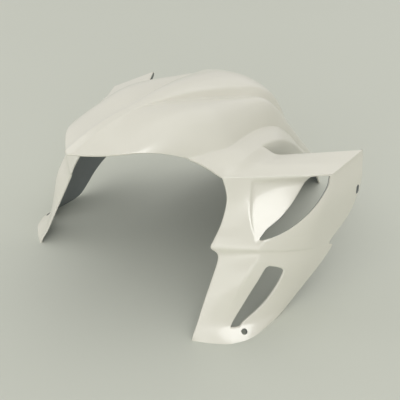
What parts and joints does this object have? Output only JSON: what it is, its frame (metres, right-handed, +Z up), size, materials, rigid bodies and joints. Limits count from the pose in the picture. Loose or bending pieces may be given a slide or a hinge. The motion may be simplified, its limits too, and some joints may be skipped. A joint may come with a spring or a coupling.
{
  "type": "scooter front mudguard",
  "caption": "Moulded front mudguard for a scooter: a crowned arch over the wheel, with scooped covers for the fork legs at both sides.",
  "frame": {"origin": "on the ground plane that the part stands on, in the middle of its bounding box", "axes": "+X to the rider's left, across the part's plane of symmetry; -Y towards the nose and +Y towards the tail; +Z up"},
  "size_m": [0.3172, 0.3472, 0.1868],
  "materials": {
    "painted_shell": "glossy off-white paint outside, bare slate-grey moulding inside"
  },
  "bodies": {
    "root": {"mudguard": "painted_shell"}
  },
  "joints": []
}
